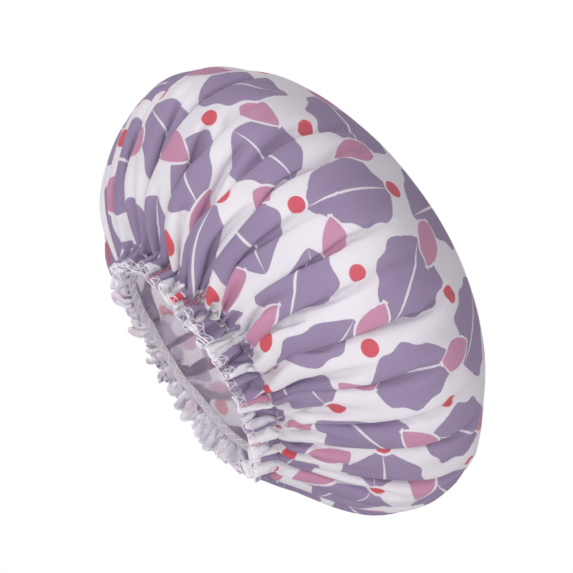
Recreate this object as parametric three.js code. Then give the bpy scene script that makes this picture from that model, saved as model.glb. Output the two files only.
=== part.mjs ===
// Gathered shower cap: a printed cloth cover and a waterproof film liner, drawn in together
// by a sewn-on elastic. Past the elastic both sheets run on as a short frill, whose raw edges
// are overlocked. Millimetres, +Z up through the crown. The wearer faces -Y. The origin is
// the centre of the head opening, level with the edge that the cap stands on.
import * as THREE from "three";

// Overall form
const CAP_WIDTH = 260; // across the filled cap at its widest, over the folds
const DOME_HEIGHT = 131; // from the middle of the elastic to the crown
const OPENING_WIDTH = 116; // inside the relaxed elastic
const UNDERSIDE_SHIFT = 6; // how far the dome's underside hangs towards the forehead
const UNDERSIDE_SAG = 2; // how far it hangs down
const CROWN_SLACK = 1.08; // power of the crown's curve: 1 is an ellipse, more has slacker shoulders

// Sheets
const CLOTH_THICKNESS = 0.5;
const FILM_THICKNESS = 0.3;
const LINER_SLACK = 3; // how far the liner hangs inside the cover, away from the seam

// Gathers: half the height of a fold from ridge to valley
const FOLD_PITCH = 16.7; // along the elastic
const CROWN_FOLD_DEPTH = 1.4; // at the widest ring
const SIDE_FOLD_DEPTH = 4; // where the dome turns in towards the elastic
const GATHER_DEPTH = 3.5; // under the elastic
const EDGE_FOLD_DEPTH = 4.2; // at the edge of the frill
const FOLD_VARIETY = 0.45; // share by which the shallowest fold of the dome is shallower
const FOLD_SWAY = 0.16; // how far a fold strays to the side, as a share of a fold's width
const VARIETY_RATE = 1.7; // radians from one ridge or valley to the next, of the wave that sets depth
const SWAY_RATE = 2.1; // the same, of the wave that sets the straying

// Elastic and frill
const ELASTIC_WIDTH = 4.5;
const ELASTIC_THICKNESS = 0.8;
const FRILL_LENGTH = 19; // from the elastic's middle to the raw edges
const FRILL_FLARE = 1.5; // how far the frill spreads on the way down

// Sewing
const THREAD_DIAMETER = 0.5;
const OVERLOCK_WIDTH = 4; // from the raw edges up to the overlock's needle row
const LOOPER_HEIGHT = 1.1; // bead of looper thread rolled under the raw edges
const LOOPER_PROUD = 0.4; // how far that bead stands out past the sheets on either side
const ZIGZAG_WIDTH = 3.2; // of the seam that holds the elastic
const ZIGZAG_PITCH = 7.5; // along the elastic
const BARTACK_LENGTH = 9; // thread block that joins the ends of the elastic
const BARTACK_WIDTH = 4;
const BARTACK_PITCH = 1.1; // between passes of the thread
const BARTACK_THREAD = 0.25; // diameter
const SEWING_GAP = 0.3; // clearance between layers that lie on each other

// Facets
const CROWN_ROWS = 6; // from the crown's centre to the widest ring
const SIDE_ROWS = 5; // from the widest ring to the elastic
const LOOSENING_ROWS = 2.5; // rows from the elastic until the dome hangs freely
const SLOPE_STEPS = 24; // integration steps down a stretch of the dome
const THREAD_SIDES = 6;
const BARTACK_STEPS = 4; // from one turn of the zigzag to the next

// Heights and radii that follow
const RAW_EDGE_HEIGHT = LOOPER_HEIGHT + SEWING_GAP;
const GATHER_HEIGHT = RAW_EDGE_HEIGHT + FRILL_LENGTH;
const ELASTIC_RADIUS = OPENING_WIDTH / 2 + ELASTIC_THICKNESS;
const LINER_INSET = CLOTH_THICKNESS + SEWING_GAP;
const LAYERS = LINER_INSET + FILM_THICKNESS;
const GATHER_RADIUS = ELASTIC_RADIUS + SEWING_GAP + LAYERS + GATHER_DEPTH;
const DOME_RADIUS = CAP_WIDTH / 2 - CROWN_FOLD_DEPTH;
const FOLDS = Math.round((2 * Math.PI * GATHER_RADIUS) / FOLD_PITCH);
const COLUMNS = 2 * FOLDS; // one ridge and one valley to a fold

const cloth = new THREE.MeshStandardMaterial({ color: 0xb9a9c6, roughness: 0.9, metalness: 0 });
const film = new THREE.MeshStandardMaterial({ color: 0xd9d4de, roughness: 0.35, metalness: 0 });
const elastic = new THREE.MeshStandardMaterial({ color: 0xcac3cf, roughness: 0.8, metalness: 0 });
const thread = new THREE.MeshStandardMaterial({ color: 0xf2eff3, roughness: 0.7, metalness: 0 });

// The dome's side is that of a flat disc which is filled until its rim turns in: a tangent that
// has turned by `turn` from level lies at radius R sqrt(sin turn), and falls by R/2 sqrt(sin turn)
// per radian of turn. Its crown has slumped to about the round of an ellipse of the same height.
const domeRadius = (turn) => DOME_RADIUS * Math.sqrt(Math.max(0, Math.sin(turn)));

function domeFall(from, to) {
  const step = (to - from) / SLOPE_STEPS;
  let fall = 0;
  for (let k = 0; k < SLOPE_STEPS; k += 1) {
    fall += (domeRadius(from + (k + 0.5) * step) * step) / 2;
  }
  return fall;
}

const QUARTER = Math.PI / 2;
const LAST_TURN = Math.PI - Math.asin((GATHER_RADIUS / DOME_RADIUS) ** 2);
const SINK = DOME_HEIGHT / (domeFall(0, QUARTER) + domeFall(QUARTER, LAST_TURN));
const CROWN_RISE = SINK * domeFall(0, QUARTER);
const WIDEST_HEIGHT = GATHER_HEIGHT + DOME_HEIGHT - CROWN_RISE;

// Where the dome's face is at a turn from level, and which way is out.
function domePoint(turn) {
  const side = turn > QUARTER;
  const r = side ? domeRadius(turn) : DOME_RADIUS * Math.sin(turn) ** CROWN_SLACK;
  const rise = side ? -SINK * domeFall(QUARTER, turn) : CROWN_RISE * Math.cos(turn) ** CROWN_SLACK;
  const slope = side ? SINK : CROWN_RISE / DOME_RADIUS;
  const out = new THREE.Vector2(slope * Math.sin(turn), Math.cos(turn)).normalize();
  return { r, z: WIDEST_HEIGHT + rise, outR: out.x, outZ: out.y };
}

// Turns of the rows: even over the crown, and closer together near the elastic.
function domeTurns() {
  const lastShare = Math.sqrt((Math.PI - LAST_TURN) / QUARTER);
  const turns = [];
  for (let k = 0; k <= CROWN_ROWS; k += 1) {
    turns.push((QUARTER * k) / CROWN_ROWS);
  }
  for (let k = 1; k <= SIDE_ROWS; k += 1) {
    const share = 1 + (lastShare - 1) * (k / SIDE_ROWS);
    turns.push(Math.PI - QUARTER * share ** 2);
  }
  return turns;
}

// Fold depth along the meridian: nothing at the crown, most where the dome turns in.
function domeFoldDepth(turn) {
  if (turn <= QUARTER) {
    return CROWN_FOLD_DEPTH * (turn / QUARTER);
  }
  const share = (turn - QUARTER) / QUARTER;
  return THREE.MathUtils.lerp(CROWN_FOLD_DEPTH, SIDE_FOLD_DEPTH, Math.sin(share * QUARTER));
}

// Rows of the cover's outer face from the crown to the raw edge: where each row is, which way
// is out, how deep its folds are, what share of the slack and variety it takes, and how freely
// it hangs.
function capRows() {
  const turns = domeTurns();
  const rows = turns.map((turn, k) => {
    const rowsToElastic = turns.length - 1 - k;
    const loose = Math.sin(Math.min(1, rowsToElastic / LOOSENING_ROWS) * QUARTER);
    const hang = turn > QUARTER ? loose * Math.sin(2 * (turn - QUARTER)) : 0;
    return { ...domePoint(turn), depth: domeFoldDepth(turn), loose, hang };
  });
  const frill = [0, FRILL_LENGTH - OVERLOCK_WIDTH, FRILL_LENGTH].map(frillRow);
  return [...rows.slice(0, -1), ...frill];
}

// A row of the frill, so far below the middle of the elastic.
function frillRow(drop) {
  const share = drop / FRILL_LENGTH;
  return {
    r: GATHER_RADIUS + FRILL_FLARE * share,
    z: GATHER_HEIGHT - drop,
    outR: 1,
    outZ: 0,
    depth: THREE.MathUtils.lerp(GATHER_DEPTH, EDGE_FOLD_DEPTH, share),
    loose: 0,
    hang: 0,
  };
}

const ROWS = capRows();

// Folds stray a little sideways and differ in depth, by fixed waves round the cap.
function foldAngle(column) {
  return (2 * Math.PI * (column + 2 * FOLD_SWAY * Math.sin(SWAY_RATE * column))) / COLUMNS;
}

function foldHeight(row, column) {
  const shallower = (FOLD_VARIETY * row.loose * (1 + Math.sin(VARIETY_RATE * column))) / 2;
  const side = column % 2 === 0 ? 1 : -1;
  return side * row.depth * (1 - shallower);
}

// One face of a sheet, `inset` inside the cover's outer face and hanging `slack` further in.
function sheetFace(inset, slack) {
  return ROWS.map((row) => {
    const inward = inset + slack * row.loose;
    return { ...row, r: Math.max(0, row.r - inward * row.outR), z: row.z - inward * row.outZ };
  });
}

// Revolves a profile of rows about Z, with a ridge or a valley at each column. Rows marked
// upward run from the edge to the crown: their facets are split along the other diagonal, so
// that both faces of a sheet bend along the same lines.
function gatheredRevolve(rows) {
  const profile = rows.map((row) => new THREE.Vector2(row.r, row.z));
  const geometry = new THREE.LatheGeometry(profile, COLUMNS);
  const position = geometry.getAttribute("position");
  for (let step = 0; step <= COLUMNS; step += 1) {
    const column = step % COLUMNS;
    const angle = foldAngle(column);
    rows.forEach((row, k) => {
      const fold = row.r > 0 ? foldHeight(row, column) : 0;
      const r = row.r + fold * row.outR;
      const ahead = r * Math.cos(angle) + UNDERSIDE_SHIFT * row.hang;
      const height = row.z + fold * row.outZ - UNDERSIDE_SAG * row.hang;
      position.setXYZ(step * rows.length + k, r * Math.sin(angle), height, ahead);
    });
  }
  const facets = [];
  for (let column = 0; column < COLUMNS; column += 1) {
    for (let k = 0; k < rows.length - 1; k += 1) {
      const a = column * rows.length + k;
      const b = a + rows.length;
      const [c, d] = [b + 1, a + 1];
      facets.push(...(rows[k].upward ? [a, b, c, a, c, d] : [a, b, d, c, d, b]));
    }
  }
  geometry.setIndex(facets);
  return geometry.rotateX(Math.PI / 2);
}

function sheet(inset, thickness, slack) {
  const inner = sheetFace(inset + thickness, slack);
  const outer = sheetFace(inset, slack).map((row) => ({ ...row, upward: true }));
  return gatheredRevolve([...inner, ...outer.reverse()]);
}

// A thread or bead that follows the folds of one row, with corners given from its centre.
function followingRing(row, centreR, centreZ, corners) {
  const section = corners.map(([across, up]) => ({ ...row, r: centreR + across, z: centreZ + up }));
  return gatheredRevolve([...section, section[0]]);
}

function threadCorners(diameter) {
  return Array.from({ length: THREAD_SIDES }, (_, k) => {
    const angle = (2 * Math.PI * k) / THREAD_SIDES;
    return [(diameter / 2) * Math.cos(angle), (diameter / 2) * Math.sin(angle)];
  });
}

// A row of stitches on the outside of the frill.
function outsideThread(drop) {
  const row = frillRow(drop);
  const centre = row.r + SEWING_GAP + THREAD_DIAMETER / 2;
  return followingRing(row, centre, row.z, threadCorners(THREAD_DIAMETER));
}

function looperBead() {
  const half = LAYERS / 2 + LOOPER_PROUD;
  const shoulder = LOOPER_HEIGHT / 2;
  const corners = [
    [-half, 0],
    [half, 0],
    [half, shoulder],
    [half - LOOPER_PROUD, LOOPER_HEIGHT],
    [LOOPER_PROUD - half, LOOPER_HEIGHT],
    [-half, shoulder],
  ];
  const edge = frillRow(FRILL_LENGTH);
  return followingRing(edge, edge.r - LAYERS / 2, 0, corners);
}

function elasticBand() {
  const inner = OPENING_WIDTH / 2;
  const low = GATHER_HEIGHT - ELASTIC_WIDTH / 2;
  const high = GATHER_HEIGHT + ELASTIC_WIDTH / 2;
  const section = [
    new THREE.Vector2(inner, low),
    new THREE.Vector2(ELASTIC_RADIUS, low),
    new THREE.Vector2(ELASTIC_RADIUS, high),
    new THREE.Vector2(inner, high),
    new THREE.Vector2(inner, low),
  ];
  return new THREE.LatheGeometry(section, 2 * COLUMNS).rotateX(Math.PI / 2);
}

// Zigzag of thread round the inside of the elastic.
const SEAM_RADIUS = OPENING_WIDTH / 2 - SEWING_GAP - THREAD_DIAMETER / 2;

function elasticSeam() {
  const columns = 2 * Math.round((2 * Math.PI * SEAM_RADIUS) / ZIGZAG_PITCH);
  const corners = threadCorners(THREAD_DIAMETER);
  const section = [...corners, corners[0]].map(
    ([across, up]) => new THREE.Vector2(SEAM_RADIUS + across, GATHER_HEIGHT + up),
  );
  const geometry = new THREE.LatheGeometry(section, columns);
  const position = geometry.getAttribute("position");
  for (let step = 0; step <= columns; step += 1) {
    const rise = (step % 2 === 0 ? 1 : -1) * (ZIGZAG_WIDTH / 2);
    for (let k = 0; k < section.length; k += 1) {
      const vertex = step * section.length + k;
      position.setY(vertex, position.getY(vertex) + rise);
    }
  }
  return geometry.rotateX(Math.PI / 2);
}

// Block of zigzag stitches over the overlapped ends of the elastic, at the wearer's side.
function bartack() {
  const radius = SEAM_RADIUS - (THREAD_DIAMETER + BARTACK_THREAD) / 2 - SEWING_GAP;
  const turns = 2 * Math.round(BARTACK_LENGTH / BARTACK_PITCH);
  const points = Array.from({ length: turns + 1 }, (_, k) => {
    const angle = ((k / turns - 0.5) * BARTACK_LENGTH) / radius;
    const rise = (k % 2 === 0 ? 1 : -1) * (BARTACK_WIDTH / 2);
    return new THREE.Vector3(
      radius * Math.cos(angle),
      radius * Math.sin(angle),
      GATHER_HEIGHT + rise,
    );
  });
  const outline = threadCorners(BARTACK_THREAD).map(([x, y]) => new THREE.Vector2(x, y));
  return new THREE.ExtrudeGeometry(new THREE.Shape(outline), {
    steps: BARTACK_STEPS * turns,
    extrudePath: new THREE.CatmullRomCurve3(points),
  });
}

function piece(name, geometry, material) {
  const mesh = new THREE.Mesh(geometry, material);
  mesh.name = name;
  return mesh;
}

const cap = new THREE.Group();
cap.name = "shower_cap";
cap.add(
  piece("outer_cover", sheet(0, CLOTH_THICKNESS, 0), cloth),
  piece("waterproof_liner", sheet(LINER_INSET, FILM_THICKNESS, LINER_SLACK), film),
  piece("elastic_band", elasticBand(), elastic),
  piece("elastic_seam_thread", elasticSeam(), thread),
  piece("elastic_join_bartack", bartack(), thread),
  piece("casing_stitch_thread", outsideThread(ELASTIC_WIDTH / 2), thread),
  piece("overlock_needle_thread", outsideThread(FRILL_LENGTH - OVERLOCK_WIDTH), thread),
  piece("overlock_looper_thread", looperBead(), thread),
);

export default cap;
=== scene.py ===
"""A gathered shower cap: a printed cotton cover over a film liner, drawn in by an elastic round the mouth.

The cover is a flat round of cloth. It is held in pleats along the elastic, filled with a little air and
relaxed until its threads have their cut lengths again, so its folds are those that the gathered cloth makes
itself. The frill past the elastic is then turned to a pose, and the dome's underside is lifted off it.
"""
import math

import bpy
import numpy as np
from mathutils import Matrix, Vector


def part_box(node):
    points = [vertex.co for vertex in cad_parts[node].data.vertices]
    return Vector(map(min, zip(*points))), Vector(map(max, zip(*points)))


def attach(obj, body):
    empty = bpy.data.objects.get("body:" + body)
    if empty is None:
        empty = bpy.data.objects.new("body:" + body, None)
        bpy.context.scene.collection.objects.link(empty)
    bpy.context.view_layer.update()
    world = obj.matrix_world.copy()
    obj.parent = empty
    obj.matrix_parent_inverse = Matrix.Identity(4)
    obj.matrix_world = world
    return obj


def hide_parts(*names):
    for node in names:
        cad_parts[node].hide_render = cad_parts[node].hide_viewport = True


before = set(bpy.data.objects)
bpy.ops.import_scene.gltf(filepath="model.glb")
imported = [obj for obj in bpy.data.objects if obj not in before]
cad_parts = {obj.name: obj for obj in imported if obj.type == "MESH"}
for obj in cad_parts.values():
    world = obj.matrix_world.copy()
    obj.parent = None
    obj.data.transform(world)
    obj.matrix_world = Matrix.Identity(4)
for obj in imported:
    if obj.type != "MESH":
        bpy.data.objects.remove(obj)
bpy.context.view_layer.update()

MM = 0.001
rng = np.random.default_rng(7)

# Sizes read from the frame
cover_low, cover_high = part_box("outer_cover")
band_low, band_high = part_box("elastic_band")
BAND_WIDTH = band_high.z - band_low.z
BAND_OUTER = (band_high.x - band_low.x) / 2
RAW_EDGE_HEIGHT = cover_low.z

# Sizes of the cut and of its gathers
BAND_THICKNESS = 0.8 * MM
PLEAT_HALF_DEPTH = 3.2 * MM
SCRUNCH = 0.8 * MM
GATHER_STANDOFF = 4.9 * MM
GATHER_RADIUS = BAND_OUTER + GATHER_STANDOFF
GATHER_HEIGHT = (band_high.z + band_low.z) / 2
FRILL_SLACK = 1.05
FRILL_LENGTH = FRILL_SLACK * (GATHER_HEIGHT - RAW_EDGE_HEIGHT)
FOLD_ALLOWANCE = 4.5 * MM
DOME_RADIUS = (cover_high.x - cover_low.x) / 2 - FOLD_ALLOWANCE
DOME_TOP = cover_high.z
CLOTH_THICKNESS = 0.35 * MM

# How the dome settles. Near the elastic it is held, then comes loose, both in shares of the gathers' radius
DOME_MIDDLE = 88 * MM
SHOULDER_ROUNDING = 0.125
SHOULDER_START = 0.62
UNDERSIDE_SAG = 0.5 * MM
UNDERSIDE_LEAN = math.tan(math.radians(0.15))
FORWARD_SHIFT = 8.9 * MM
HELD_UP_TO = 1.03
LOOSE_FROM = 1.5

# The rim is soft: millimetres it hangs below the elastic's level, by degrees round the cap from the forehead
RIM_DIPS = {
    0: 5, 30: 4.5, 60: 6.5, 75: 5.5, 90: 3, 110: 0.5, 150: 1, 180: 1.5,
    210: 1, 240: 0, 270: 2, 300: 4, 315: 6, 330: 8, 345: 7,
}
# Degrees by which the frill turns out from hanging straight down, by degrees round the cap
FRILL_LEANS = {
    0: -45, 20: -25, 40: -5, 60: 5, 90: 10, 115: -10, 140: -20, 160: -22,
    185: -15, 205: 15, 225: 45, 250: 76, 285: 97, 315: 102, 330: 45, 345: -20,
}
# Share of the frill's cut length that is left where it is scrunched up, by degrees round the cap
FRILL_SHARES = {
    0: 0.6, 60: 0.72, 90: 0.88, 115: 0.93, 140: 0.85, 160: 0.75, 180: 0.62,
    205: 0.45, 225: 0.6, 250: 0.78, 285: 0.72, 315: 0.48, 330: 0.38, 345: 0.36,
}
# Degrees between the values that these courses are smoothed from, and the waves round the rim that they keep
COURSE_STEP = 5
RIM_WAVES = 9
# The frill turns over a bend, which is shorter on the far side, where its pleats are pressed flatter too
FRILL_BEND = 8 * MM
FAR_SHARPER = 0.5
FAR_PRESS = 0.5
LEAST_LEAN = 1e-3
# Waves round the frill below this count are its course, and the rest are its pleats
FRILL_WAVES = 14
# Pinned widths past the elastic by which the frill has its full pose
FULLY_POSED = 2.5

# Room between the turned-out frill and the dome over it, by degrees of the frill's lean and by the way out
FRILL_ROOM = 3 * MM
FRILL_ROOM_SOFTNESS = 0.8 * MM
ROOM_LEANS = (35, 60)
ROOM_LEAST_LEAN = 30
ROOM_STARTS = (0.5 * MM, 4 * MM)
ROOM_ENDS = (1 * MM, 7 * MM)

# The cut's mesh gets finer between two shares of the way to the elastic, and is held along the elastic
FINER_SHARES = (0.3, 0.93)
STEP_ROUND = 1.08
FEWEST_ROUND = 6
PINNED_WIDTH = 3 * MM
PINNED_BEFORE = 0.3
PROFILE_POINTS = 20001
SMALLEST_SLOPE = 1e-9

# Folds of the gathered start, before the cloth is relaxed
PLEATS = 50
CRUSHES_PER_PLEAT = 3
DEEPEST_PLEAT = 1.25
HIGHEST_PLEAT = 1.4
# How far a fold leans over to its side, for its depth
LOP = 1.0
# Where the rim's dips begin and where pleats do, as shares of the way from the crown to the elastic
DIPS_FROM = 0.75
PLEATS_FROM = 0.82
START_UNEVENNESS = 0.15 * MM

# How the cap is turned in the picture
LOOK_UP = math.radians(18.5)
PICTURE_TILT = math.radians(31.55)
crown_in_picture = np.array([math.sin(LOOK_UP), 0, math.cos(LOOK_UP)])
back_in_picture = np.array([0, 1.0, 0])
picture_right = back_in_picture * math.sin(PICTURE_TILT) + crown_in_picture * math.cos(PICTURE_TILT)
picture_up = crown_in_picture * math.sin(PICTURE_TILT) - back_in_picture * math.cos(PICTURE_TILT)

# The relaxing of the cloth
SAG = 0.25
ROUGH_STEPS = 150
FINE_STEPS = 36
PASSES = 6
AIR_PUSH = 0.6
SLOWING = 0.93
ROUGH_FOLD_STIFFNESS = 0.1
FINE_FOLD_STIFFNESS = 0.01
SHORTENING_STIFFNESS = 0.6
STRETCH_PACE = 1.4
FOLD_PACE = 1
SMOOTH_IN = 0.5
SMOOTH_OUT = -0.52

# Too small to matter, added to lengths and areas that are divided by
TINY = 1e-12

# Sewing
THREAD_RADIUS = 0.2 * MM
THREAD_SIDES = 6
STITCH_LENGTH = 3.2 * MM
OVERLOCK_WIDTH = 4.2 * MM
OVERLOCK_PITCH = 4.5 * MM
ZIGZAG_PITCH = 7.5 * MM
ZIGZAG_HALF_WIDTH = 1.6 * MM
JOIN_ANGLE = math.pi / 2
BARTACK_STITCHES = 8
BARTACK_LENGTH = 9 * MM
BARTACK_WIDTH = 4 * MM
# Points along one stitch, how deep a lockstitch dips, and how far the edge's knots hang in thread radii
ZIGZAG_POINTS = 8
STITCH_POINTS = 6
NEEDLE_POINTS = 4
STITCH_DIP = 1.4
KNOT_DROP = 0.6
KNOT_SWING = 0.5

# How far a thread's middle lies from the face that it is sewn to
OVER_BAND = 0.7 * THREAD_RADIUS
OVER_BAND_SEAM = 1.6 * THREAD_RADIUS
OVER_CLOTH = 0.9 * THREAD_RADIUS
IN_CLOTH = -1.8 * THREAD_RADIUS
BEHIND_CLOTH = -CLOTH_THICKNESS - 2.4 * THREAD_RADIUS
LOOP_RADIUS = 0.9 * THREAD_RADIUS
KNOT_RADIUS = 1.5 * THREAD_RADIUS


def ease(value, start, end):
    """0 before start, 1 after end, and a smooth rise between."""
    share = np.clip((value - start) / (end - start), 0, 1)
    return share * share * (3 - 2 * share)


def round_point(radius, angle, height):
    """A point so far from the cap's axis, so far round it from the forehead, and so high."""
    return np.stack([radius * np.sin(angle), -radius * np.cos(angle), height], -1)


# The flat round of cloth

def dome_profile():
    """Arc length, radius, height and slope angle down a filled dome, limp across and firm down its length."""
    last = math.pi - math.asin((GATHER_RADIUS / DOME_RADIUS) ** 2)
    slope = np.linspace(SMALLEST_SLOPE, last, PROFILE_POINTS)
    middle = (slope[1:] + slope[:-1]) / 2
    spread = np.sqrt(np.sin(middle))
    arc = np.concatenate([[0], np.cumsum(DOME_RADIUS / (2 * spread) * np.diff(slope))])
    fall = np.concatenate([[0], np.cumsum(DOME_RADIUS / 2 * spread * np.diff(slope))])
    return arc, DOME_RADIUS * np.sqrt(np.sin(slope)), GATHER_HEIGHT + fall[-1] - fall, slope


ARC, ARC_RADIUS, ARC_HEIGHT, ARC_SLOPE = dome_profile()
GATHER_ARC = ARC[-1]
CUT_RADIUS = GATHER_ARC + FRILL_LENGTH


class Cut:
    """The flat round of cloth, as rings of vertices that lie closer together towards the elastic."""

    def __init__(self, crown_step, frill_rows):
        self.rim_step = FRILL_LENGTH / frill_rows
        self.plan_rings(crown_step, frill_rows)
        self.ring_start = np.concatenate([[0], np.cumsum(self.ring_count)])
        rings = range(len(self.ring_count))
        self.arc = np.repeat(self.ring_arc, self.ring_count)
        self.angle = np.concatenate([self.ring_angles(k) for k in rings])
        self.flat = round_point(self.arc, self.angle, 0 * self.arc)
        self.faces = np.array([face for k in rings[:-1] for face in self.ring_faces(k)])
        past = self.arc - GATHER_ARC
        self.pinned = (past > -PINNED_BEFORE * self.rim_step) & (past < PINNED_WIDTH)

    def plan_rings(self, crown_step, frill_rows):
        """How far each ring lies from the crown along the cloth, and how many vertices it has."""
        places = [0.0]
        while places[-1] < GATHER_ARC:
            fine = ease(places[-1] / GATHER_ARC, *FINER_SHARES)
            places.append(places[-1] + crown_step + (self.rim_step - crown_step) * fine)
        on_dome = np.array(places) * GATHER_ARC / places[-1]
        steps = np.diff(on_dome)
        rounds = [math.tau * s / (STEP_ROUND * step) for s, step in zip(on_dome[1:], steps)]
        counts = [1] + [max(FEWEST_ROUND, round(count)) for count in rounds]
        on_frill = GATHER_ARC + self.rim_step * np.arange(1, frill_rows + 1)
        self.ring_arc = np.concatenate([on_dome, on_frill])
        self.ring_count = counts + [counts[-1]] * frill_rows

    def ring_angles(self, k):
        return math.tau * (np.arange(self.ring_count[k]) + 0.5 * (k % 2)) / self.ring_count[k]

    def ring_faces(self, k):
        """Triangles between ring k and the next ring out, stepping along whichever ring lags behind."""
        inner, outer = self.ring_start[k], self.ring_start[k + 1]
        inner_count, outer_count = self.ring_count[k], self.ring_count[k + 1]
        inner_shift, outer_shift = 0.5 * (k % 2), 0.5 * ((k + 1) % 2)
        if k == 0:
            return [(0, outer + j, outer + (j + 1) % outer_count) for j in range(outer_count)]
        faces = []
        i = j = 0
        while i < inner_count or j < outer_count:
            here = (inner + i % inner_count, outer + j % outer_count)
            inner_next = (i + 1 + inner_shift) / inner_count
            outer_next = (j + 1 + outer_shift) / outer_count
            if j < outer_count and (i == inner_count or outer_next <= inner_next):
                j += 1
                faces.append((here[0], here[1], outer + j % outer_count))
            else:
                i += 1
                faces.append((here[0], here[1], inner + i % inner_count))
        return faces

    def row(self, points, arc, angles):
        """Points of the cloth along one circle of the flat round, between the vertices of its rings."""
        k = min(int(np.searchsorted(self.ring_arc, arc, side="right")) - 1, len(self.ring_arc) - 2)
        share = (arc - self.ring_arc[k]) / (self.ring_arc[k + 1] - self.ring_arc[k])
        found = 0
        for ring, weight in ((k, 1 - share), (k + 1, share)):
            part = points[self.ring_start[ring]:self.ring_start[ring + 1]]
            own = self.ring_angles(ring)
            at = [np.interp(angles, own, part[:, axis], period=math.tau) for axis in range(3)]
            found = found + weight * np.stack(at, 1)
        return found

    def carried(self, points, other):
        """The same cloth at the vertices of another cut."""
        rings = range(len(other.ring_count))
        return np.vstack([self.row(points, other.ring_arc[k], other.ring_angles(k)) for k in rings])


ROUGH = Cut(crown_step=4.4 * MM, frill_rows=8)
FINE = Cut(crown_step=3.0 * MM, frill_rows=14)


# Gathering the cloth

class Wander:
    """A slow random swing round the cap that closes on itself."""

    def __init__(self, modes, size):
        self.sizes = size * rng.normal(size=modes) / math.sqrt(modes)
        self.shifts = rng.uniform(0, math.tau, modes)

    def __call__(self, angle):
        swing = 0 * angle
        for m, (size, shift) in enumerate(zip(self.sizes, self.shifts)):
            swing = swing + size * np.sin((m + 1) * angle + shift)
        return swing


class Folds:
    """Folds round the cap, unequal in width and depth. A crease under 1 gives sharp valleys, broad ridges."""

    def __init__(self, folds, sway, variety, modes, crease=1.0):
        self.folds, self.crease = folds, crease
        self.sway, self.variety = Wander(modes, sway), Wander(modes, variety)

    def __call__(self, angle):
        turn = (self.folds * angle + self.sway(angle)) / 2
        return (2 * np.abs(np.sin(turn)) ** (2 * self.crease) - 1) * (1 + self.variety(angle))


WIDE = Folds(27, sway=2.2, variety=0.5, modes=9, crease=0.5)
MEDIUM = Folds(47, sway=2.4, variety=0.6, modes=15)
PLEATED = Folds(PLEATS, sway=4.5, variety=0.6, modes=24, crease=0.6)
CRUSHED = Folds(CRUSHES_PER_PLEAT * PLEATS, sway=5.0, variety=0.8, modes=30)


def round_course(table):
    """A smooth course through values given by degrees round the cap."""
    steps = np.arange(0, 360, COURSE_STEP)
    values = np.interp(steps, list(table), list(table.values()), period=360)
    waves = np.fft.rfft(values)[:RIM_WAVES + 1] / len(steps)
    order = np.arange(1, RIM_WAVES + 1)

    def course(angle):
        swing = waves[1:] * np.exp(1j * np.multiply.outer(angle, order))
        return waves[0].real + 2 * swing.real.sum(-1)

    return course


rim_dip_millimetres = round_course(RIM_DIPS)
frill_lean_degrees = round_course(FRILL_LEANS)
frill_share = round_course(FRILL_SHARES)


def rim_dip(angle):
    """How far the rim hangs below the elastic's level."""
    return rim_dip_millimetres(angle) * MM


def frill_bend(angle):
    """The length over which the frill turns, shorter on its far side."""
    return FRILL_BEND * (1 - FAR_SHARPER * np.maximum(0, -np.sin(angle)))


def frill_course(past, angle):
    """How far out and down the frill has gone, so far past the elastic, and how far it has turned there."""
    past = past * frill_share(angle)
    full = np.radians(frill_lean_degrees(angle))
    full = np.where(np.abs(full) < LEAST_LEAN, LEAST_LEAN, full)
    bend = frill_bend(angle)
    bent = np.minimum(past, bend)
    lean = full * bent / bend
    reach = bend / full
    outward = reach * (1 - np.cos(lean)) + np.sin(full) * (past - bent)
    down = reach * np.sin(lean) + np.cos(full) * (past - bent)
    return outward, down, lean


def fold_depth(share, depth, start, full, wane, lost):
    """The depth of folds on the way from crown (0) to elastic (1), where they lose a share to the pleats."""
    return depth * ease(share, start, full) * (1 - lost * ease(share, wane, 1))


def gathered_start(cut):
    """The cloth laid over the dome, with its spare width in folds that get finer towards the elastic."""
    share = cut.arc / GATHER_ARC
    on_dome = np.minimum(cut.arc, GATHER_ARC)
    past = np.maximum(0, cut.arc - GATHER_ARC)
    turned_out, hung_down, lean = frill_course(past, cut.angle)
    radius = np.interp(on_dome, ARC, ARC_RADIUS) + turned_out
    height = np.interp(on_dome, ARC, ARC_HEIGHT) - hung_down
    height = height - rim_dip(cut.angle) * ease(share, DIPS_FROM, 1)
    slope = np.interp(on_dome, ARC, ARC_SLOPE)
    outward = np.where(past > 0, np.cos(lean), np.sin(slope))
    upward = np.where(past > 0, np.sin(lean), np.cos(slope))
    wide = fold_depth(share, depth=8 * MM, start=0.3, full=0.8, wane=0.85, lost=0.8)
    middle = fold_depth(share, depth=2.5 * MM, start=0.6, full=0.9, wane=0.92, lost=0.6)
    fine = ease(share, PLEATS_FROM, 1)
    gathers = PLEAT_HALF_DEPTH * PLEATED(cut.angle) + SCRUNCH * CRUSHED(cut.angle)
    lift = wide * WIDE(cut.angle) + middle * MEDIUM(cut.angle)
    lowest, highest = -DEEPEST_PLEAT * PLEAT_HALF_DEPTH, HIGHEST_PLEAT * PLEAT_HALF_DEPTH
    lift = lift + fine * np.clip(gathers, lowest, highest)
    radius = radius + lift * outward
    angle = cut.angle + LOP * lift * np.sin(cut.angle) / np.maximum(radius, GATHER_RADIUS)
    return round_point(radius, angle, height + lift * upward)


def linked_pairs(faces):
    """The mesh's edges, and the pairs of corners that face each other across an edge."""
    edges = np.vstack([faces[:, [0, 1]], faces[:, [1, 2]], faces[:, [2, 0]]])
    opposite = np.concatenate([faces[:, 2], faces[:, 0], faces[:, 1]])
    edges = np.sort(edges, 1)
    order = np.lexsort((edges[:, 1], edges[:, 0]))
    edges, opposite = edges[order], opposite[order]
    shared = (edges[1:] == edges[:-1]).all(1)
    across = np.nonzero(shared)[0]
    return edges[np.concatenate([[True], ~shared])], np.stack([opposite[across], opposite[across + 1]], 1)


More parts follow.
